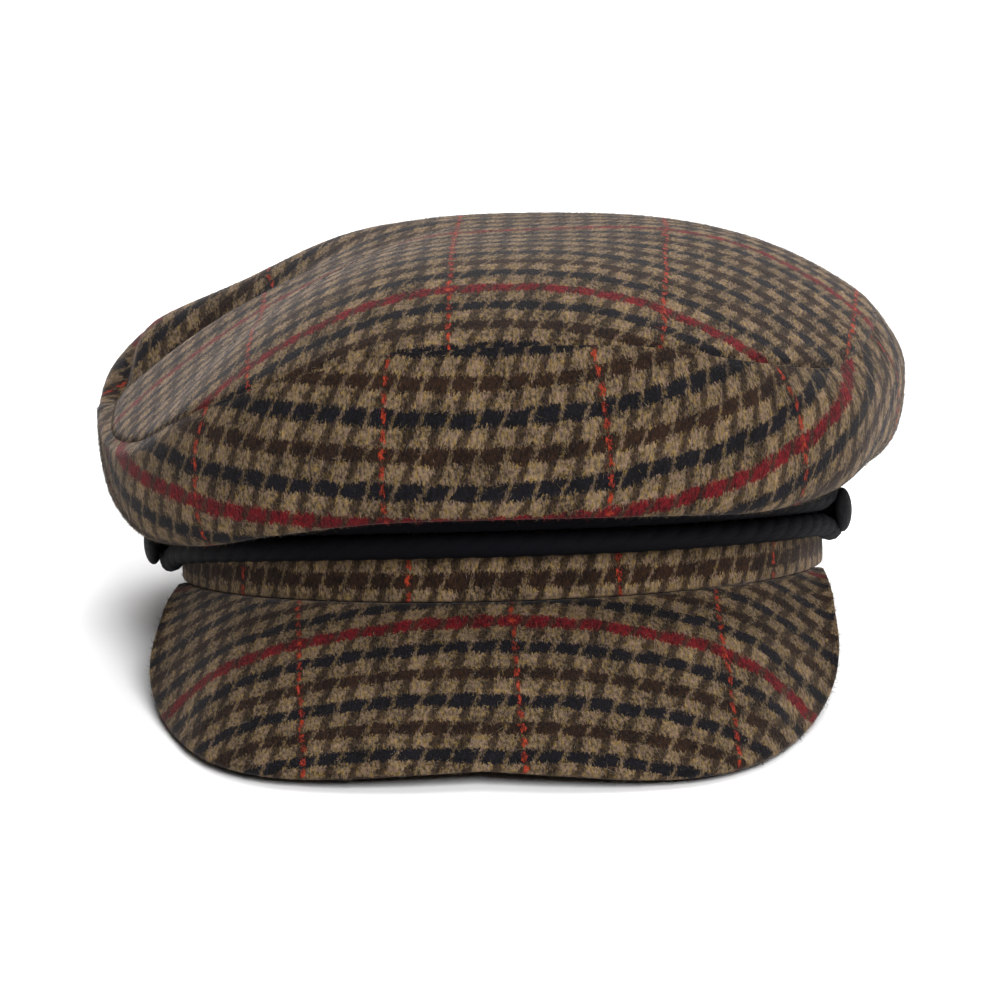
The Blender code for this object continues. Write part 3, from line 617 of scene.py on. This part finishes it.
# Both faces, from the rim to the strip that is sewn in, and the rounded rim between them. The peak
# thins out at its two corners.
thick = PEAK_THICKNESS * ease((1.0 - np.abs(station)) / 0.05)
last = 1.0 - np.minimum(0.5, thick / 2 / width)
share = np.concatenate([np.linspace(1, 0, PEAK_ROWS)[:, None] * last, [0 * last - 0.5, 0 * last - 1.0]])
upper = peak_face(share)
outward = np.cross(np.gradient(upper, axis=1), -np.gradient(upper, axis=0))
outward = unit(outward + 1e-12 * np.array([0, 0, 1]))      # so that none has no length at the corners
outward *= np.sign(outward[..., 2:])
lower = upper - thick[:, None] * outward
ahead = unit(peak_face(last) - peak_face(last - 0.05))
half_turn = np.radians(np.linspace(-90, 90, RIM_STEPS + 2)[1:-1])[:, None, None]
rim_middle = (upper[0] + lower[0]) / 2
rim = rim_middle + thick[:, None] / 2 * (np.cos(half_turn) * ahead + np.sin(half_turn) * outward[0])
points = np.concatenate([lower[::-1], rim, upper, lower[-1:]])

# The weave runs down the slope and on round the rim
x, y, z = np.moveaxis(points, -1, 0)
down = -(y * math.cos(PEAK_SLOPE) + z * math.sin(PEAK_SLOPE)) - PEAK_RED_ROW
along = x * (1 + WARP_FAN * x ** 2) - WARP_LEAN * down - PEAK_ORANGE
first_rim = len(lower)
first_upper = first_rim + RIM_STEPS
down[first_rim:first_upper] = down[first_upper] + thick / 2 * (math.pi / 2 - half_turn[..., 0])
along[first_rim:first_upper] = along[first_upper]
checks = down / PEAK_CHECK
threads = np.stack([along / PEAK_THREAD + ORANGE_THREAD,
                    MIDDLE - CHECK * checks * (ROW_STRETCH + ROW_SHRINK * np.abs(checks))], axis=-1)
peak = woven_grid("cloth_peak", points, threads)
peak.data.materials.append(tweed)
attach(peak, "root")
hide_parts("peak")

# Hairs on the upper half of the rim and on the upper face
half_rim = RIM_STEPS // 2
seen = slice(first_rim + half_rim, first_upper + PEAK_ROWS)
off_rim = rim[half_rim:] - rim_middle + 1e-9 * outward[0]
nap("peak_nap", points[seen], unit(np.concatenate([off_rim, outward[:PEAK_ROWS]])),
    threads[seen], count=26000, seed=51)


# ---- Cord --------------------------------------------------------------------------------------
# A black cord of three strands, laid up so that they climb to the right along the front. It crosses
# the band twice, one run above the other, and each end loops round the shank of a side button.

CORD_THICKNESS, CORD_TURN = 0.0066, 77.0
CORD_RISE_LEFT, CORD_RISE_FRONT, CORD_RISE_RIGHT = 0.34, 0.55, 0.47
EYE_LENGTH, SHANK_WIDTH = 3.0, 0.0036          # the loop opens over so many half widths of its eye
CORD_PITCH, STRAND_SHARE = 0.021, 0.86         # length of one twist, and a strand's share of the width
FIBRES, YARN_WAVES = 6.0, 1.6                  # fibres to a mm, and yarns 0.4 mm apart along a strand


def cord_height(turn):
    """The height of the cord's middle on the band: highest in front, lower towards the buttons."""
    side = np.where(turn > 0, CORD_RISE_RIGHT, CORD_RISE_LEFT)
    return BAND_HEIGHT * (CORD_RISE_FRONT + (side - CORD_RISE_FRONT) * (turn / CORD_TURN) ** 2)


def cord_loop():
    """The cord's middle line: along the band, round one button, back below, round the other."""
    out = CLEARANCE + CORD_THICKNESS / 2
    eye = SHANK_WIDTH / 2 + out
    spread = (CORD_THICKNESS + CLEARANCE) / 2
    turn = np.linspace(-CORD_TURN, CORD_TURN, 201)
    nearest = np.radians(CORD_TURN - np.abs(turn)) * HEAD_WIDTH / 2
    apart = spread + (eye - spread) * ease(1.0 - nearest / (EYE_LENGTH * eye))
    runs = []
    for side in (1, -1):
        runs.append(round_band(turn * side, out, cord_height(turn * side) + side * apart))
        angle = np.radians(np.linspace(0, 180, 19)[1:-1])
        bent = side * (CORD_TURN + np.degrees(eye * np.sin(angle) / (HEAD_WIDTH / 2)))
        runs.append(round_band(bent, out, cord_height(side * CORD_TURN) + side * eye * np.cos(angle)))
    loop = np.concatenate(runs)
    loop = np.concatenate([loop, loop[:1]])
    length = run_along(loop, 0)
    even = np.linspace(0.0, length[-1], 481)[:-1]
    return np.stack([np.interp(even, length, loop[:, axis]) for axis in range(3)], axis=-1), length[-1]


def black_twist():
    """Mercerised cotton cord, dyed black and tightly twisted: dense, with a low silky shine and
    fine yarns that cross each strand."""
    twist, tree, shader = new_material("mercerised_cotton_cord")
    lay = add_node(tree, "UVMap", {}, uv_map="Lay")
    fibres = add_node(tree, "TexNoise", {"Vector": lay, "Scale": FIBRES, "Detail": 3.0},
                      noise_dimensions="2D")
    yarns = add_node(tree, "TexWave", {"Vector": lay, "Scale": YARN_WAVES, "Distortion": 0.8, "Detail": 1.0},
                     wave_type="BANDS", bands_direction="DIAGONAL")
    height = add_node(tree, "Math", {0: fibres, 1: 0.5, 2: yarns}, operation="MULTIPLY_ADD")
    bump = add_node(tree, "Bump", {"Strength": 0.5, "Distance": 0.0002, "Height": height})
    tree.links.new(bump, shader.inputs["Normal"])
    shades = add_node(tree, "ValToRGB", {0: yarns})
    ramp = shades.node.color_ramp
    ramp.elements[0].color, ramp.elements[1].color = linear("#040407"), linear("#08080d")
    tree.links.new(shades, shader.inputs["Base Color"])
    shader.inputs["Roughness"].default_value = 0.75
    shader.inputs["Specular IOR Level"].default_value = 0.07
    return twist


# Three strands wind round the middle line, each a tube of twelve sides
middle, length = cord_loop()
tangent = unit(np.roll(middle, -1, 0) - np.roll(middle, 1, 0))
outward = np.stack([middle[:, 0] / HEAD_WIDTH ** 2, middle[:, 1] / HEAD_LENGTH ** 2, 0 * middle[:, 0]], -1)
outward = unit(outward)
aside = unit(np.cross(tangent, outward))
outward = np.cross(aside, tangent)
twists = round(length / CORD_PITCH)
strand = CORD_THICKNESS / 2 * STRAND_SHARE
count, sides = len(middle), 12
ring = (2 * math.pi * np.arange(sides) / sides)[:, None]
tubes = []
for third in range(3):
    angle = -2 * math.pi * (twists * np.arange(count) / count + third / 3)[:, None]
    core = middle + (CORD_THICKNESS / 2 - strand) * (np.cos(angle) * outward + np.sin(angle) * aside)
    ahead = unit(np.roll(core, -1, 0) - np.roll(core, 1, 0))
    rise = unit(outward - np.sum(outward * ahead, -1, keepdims=True) * ahead)
    cross = np.cross(ahead, rise)
    tubes.append(core[:, None] + strand * (np.cos(ring) * rise[:, None] + np.sin(ring) * cross[:, None]))

# The four corners of each face, seen from outside. The UV map Lay is in mm along and round a strand.
third, step, part = (grid.reshape(-1, 1) for grid in np.mgrid[:3, :count, :sides])
step, part = step + [1, 1, 0, 0], part + [0, 1, 1, 0]
faces = (third * count + step % count) * sides + part % sides
lay = np.stack([step * length / count, part * 2 * math.pi * strand / sides], axis=-1) * 1000
mesh = bpy.data.meshes.new("twisted_cord")
mesh.from_pydata(at_rest(np.concatenate(tubes)).reshape(-1, 3).tolist(), [], faces.tolist())
layer = mesh.uv_layers.new(name="Lay")
layer.data.foreach_set("uv", lay.ravel())
mesh.shade_smooth()
cord = new_object("twisted_cord", mesh)
cord.data.materials.append(black_twist())
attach(cord, "root")
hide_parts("cord")


# ---- Side buttons ------------------------------------------------------------------------------
# Two plain domed shank buttons of black plastic, one over each end of the peak. They are sewn
# through the band, and the cord's loops are held under their heads.

BUTTON_WIDTH, BUTTON_HEAD = 0.0125, 0.0040
BUTTON_EDGE, BUTTON_UNDERCUT = 0.35, 0.86      # how high the dome starts, and how wide the flat back is
HEAD_PRESSED = 0.0015               # how far the right button's head is sunk into the cord's loop
WORN_SPOTS = 900.0                  # to a metre, so about 1 mm wide


def moulded_plastic():
    """Black casein plastic, moulded and tumbled to a low shine that has worn off in small spots."""
    plastic, tree, shader = new_material("moulded_button_plastic")
    place = add_node(tree, "TexCoord", {}, out="Object")
    worn = add_node(tree, "TexNoise", {"Vector": place, "Scale": WORN_SPOTS, "Detail": 4.0})
    rough = add_node(tree, "MapRange", {0: worn, 1: 0.3, 2: 0.7, 3: 0.6, 4: 0.85})
    tree.links.new(rough, shader.inputs["Roughness"])
    bump = add_node(tree, "Bump", {"Strength": 0.15, "Distance": 0.0001, "Height": worn})
    tree.links.new(bump, shader.inputs["Normal"])
    shades = add_node(tree, "ValToRGB", {0: worn})
    ramp = shades.node.color_ramp
    ramp.elements[0].color, ramp.elements[1].color = linear("#030305"), linear("#07070a")
    tree.links.new(shades, shader.inputs["Base Color"])
    shader.inputs["Specular IOR Level"].default_value = 0.12
    return plastic


def side_button(name, node, turn, pressed, plastic):
    """A button turned from its half profile: its domed head, its flat back and its shank. The head
    is pressed so far into the cord's loop."""
    under = CLEARANCE * 2 + CORD_THICKNESS - pressed
    half, shank = BUTTON_WIDTH / 2, SHANK_WIDTH / 2
    angle = np.linspace(0, math.pi / 2, 14)
    arch = BUTTON_EDGE + (1 - BUTTON_EDGE) * np.cos(angle)
    dome = np.stack([half * np.sin(angle), under + BUTTON_HEAD * arch], -1)
    # The rim turns in to the flat back, which meets the shank in a small slope
    foot = [(half * 0.985, under + 0.2 * BUTTON_HEAD), (half * BUTTON_UNDERCUT, under), (shank * 1.3, under),
            (shank, under - 0.0004), (shank, CLEARANCE), (0.0, CLEARANCE)]
    profile = np.vstack([dome, foot])
    ring = 2 * math.pi * np.arange(49) / 48
    points = np.stack([profile[:, :1] * np.cos(ring), profile[:, :1] * np.sin(ring),
                       profile[:, 1:] + 0 * ring], -1)
    base = round_band(turn, 0.0, cord_height(turn))
    normal = Vector((base[0] / HEAD_WIDTH ** 2, base[1] / HEAD_LENGTH ** 2, 0.0)).normalized()
    spin = np.array(normal.to_track_quat("Z", "Y").to_matrix())
    piece = woven_grid(name, points @ spin.T + base, np.zeros(points.shape[:2] + (2,)))
    piece.data.materials.append(plastic)
    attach(piece, "root")
    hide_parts(node)


plastic = moulded_plastic()
side_button("left_side_button", "button_left", -CORD_TURN, 0.0, plastic)
side_button("right_side_button", "button_right", CORD_TURN, HEAD_PRESSED, plastic)


# ---- Studio ------------------------------------------------------------------------------------
# A white table under four soft lights: overhead, behind, at the right, and in front over the
# camera. The camera stands 1.2 m away, a little above the cap and in front of it.

FLOOR_SIZE = 12.0
BOARD_GRAIN = 60.0                  # to a metre, far coarser than a real board's, which wouldn't show
ROOM_GLOW = 0.04
CAP_MIDDLE = Vector((0.0, 0.0, 0.06))


def painted_board():
    """Matt white board: nearly even, with the faintest grain."""
    board, tree, shader = new_material("matt_white_board")
    place = add_node(tree, "TexCoord", {}, out="Object")
    grain = add_node(tree, "TexNoise", {"Vector": place, "Scale": BOARD_GRAIN, "Detail": 2.0})
    shades = add_node(tree, "ValToRGB", {0: grain})
    ramp = shades.node.color_ramp
    ramp.elements[0].color, ramp.elements[1].color = linear("#f4f4f4"), linear("#f8f8f8")
    tree.links.new(shades, shader.inputs["Base Color"])
    shader.inputs["Roughness"].default_value = 0.9
    shader.inputs["Specular IOR Level"].default_value = 0.2
    return board


half = FLOOR_SIZE / 2
mesh = bpy.data.meshes.new("table")
corners = [(-half, -half, 0), (half, -half, 0), (half, half, 0), (-half, half, 0)]
mesh.from_pydata(corners, [], [(0, 1, 2, 3)])
table = new_object("table", mesh)
table.data.materials.append(painted_board())

# What the room's walls send back
world = bpy.data.worlds.new("studio")
bpy.context.scene.world = world
world.use_nodes = True
background = world.node_tree.nodes["Background"]
background.inputs["Strength"].default_value = ROOM_GLOW
background.inputs["Color"].default_value = linear("#ffffff")


def soft_box(name, place, size, power):
    """A square area lamp that faces the middle of the cap."""
    lamp = bpy.data.lights.new(name, "AREA")
    lamp.size, lamp.energy = size, power
    box = new_object(name, lamp)
    box.location = place
    box.rotation_euler = (CAP_MIDDLE - place).to_track_quat("-Z", "Y").to_euler()


soft_box("overhead_softbox", Vector((0.0, 0.15, 2.2)), 1.8, 28.0)
soft_box("back_softbox", Vector((0.1, 1.6, 1.4)), 1.4, 54.0)
soft_box("right_softbox", Vector((1.5, 0.5, 1.3)), 1.2, 12.0)
soft_box("front_softbox", Vector((0.4, -1.4, 1.0)), 0.8, 38.0)

# The photo's camera, as fitted to the outline of the cap
CAMERA, AIM = Vector((0.0280624, -1.1453005, 0.3488594)), Vector((0.0017652, 0.0135121, 0.0382765))
lens = bpy.data.cameras.new("camera")
lens.lens, lens.sensor_width = 150.5, 36.0
camera = new_object("camera", lens)
camera.location = CAMERA
camera.rotation_euler = (AIM - CAMERA).to_track_quat("-Z", "Y").to_euler()
bpy.context.scene.camera = camera
bpy.context.scene.view_settings.view_transform = "Standard"
